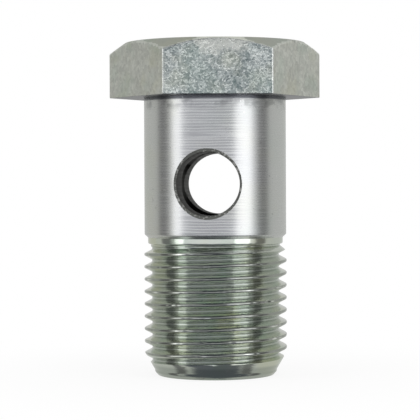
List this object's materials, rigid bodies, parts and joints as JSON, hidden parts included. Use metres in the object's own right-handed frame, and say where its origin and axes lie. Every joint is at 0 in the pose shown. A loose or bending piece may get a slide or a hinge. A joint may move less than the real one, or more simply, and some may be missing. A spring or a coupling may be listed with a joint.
{
  "type": "banjo bolt",
  "caption": "Hollow hexagon-head bolt with a drilled cross port and a pipe thread, which clamps a banjo fitting and carries fluid from its end out through its side.",
  "frame": {"origin": "on the bolt's axis at the threaded end face, which the bolt stands on", "axes": "+Z along the axis towards the head; two flats of the hexagon face -Y and +Y; +X through a corner of the hexagon"},
  "size_m": [0.0308, 0.0268, 0.0486],
  "materials": {
    "zinc_plated_steel": "zinc plated, satin on the turned shank, matt and mottled on the head"
  },
  "bodies": {
    "root": {"banjo_bolt": "zinc_plated_steel"}
  },
  "joints": []
}
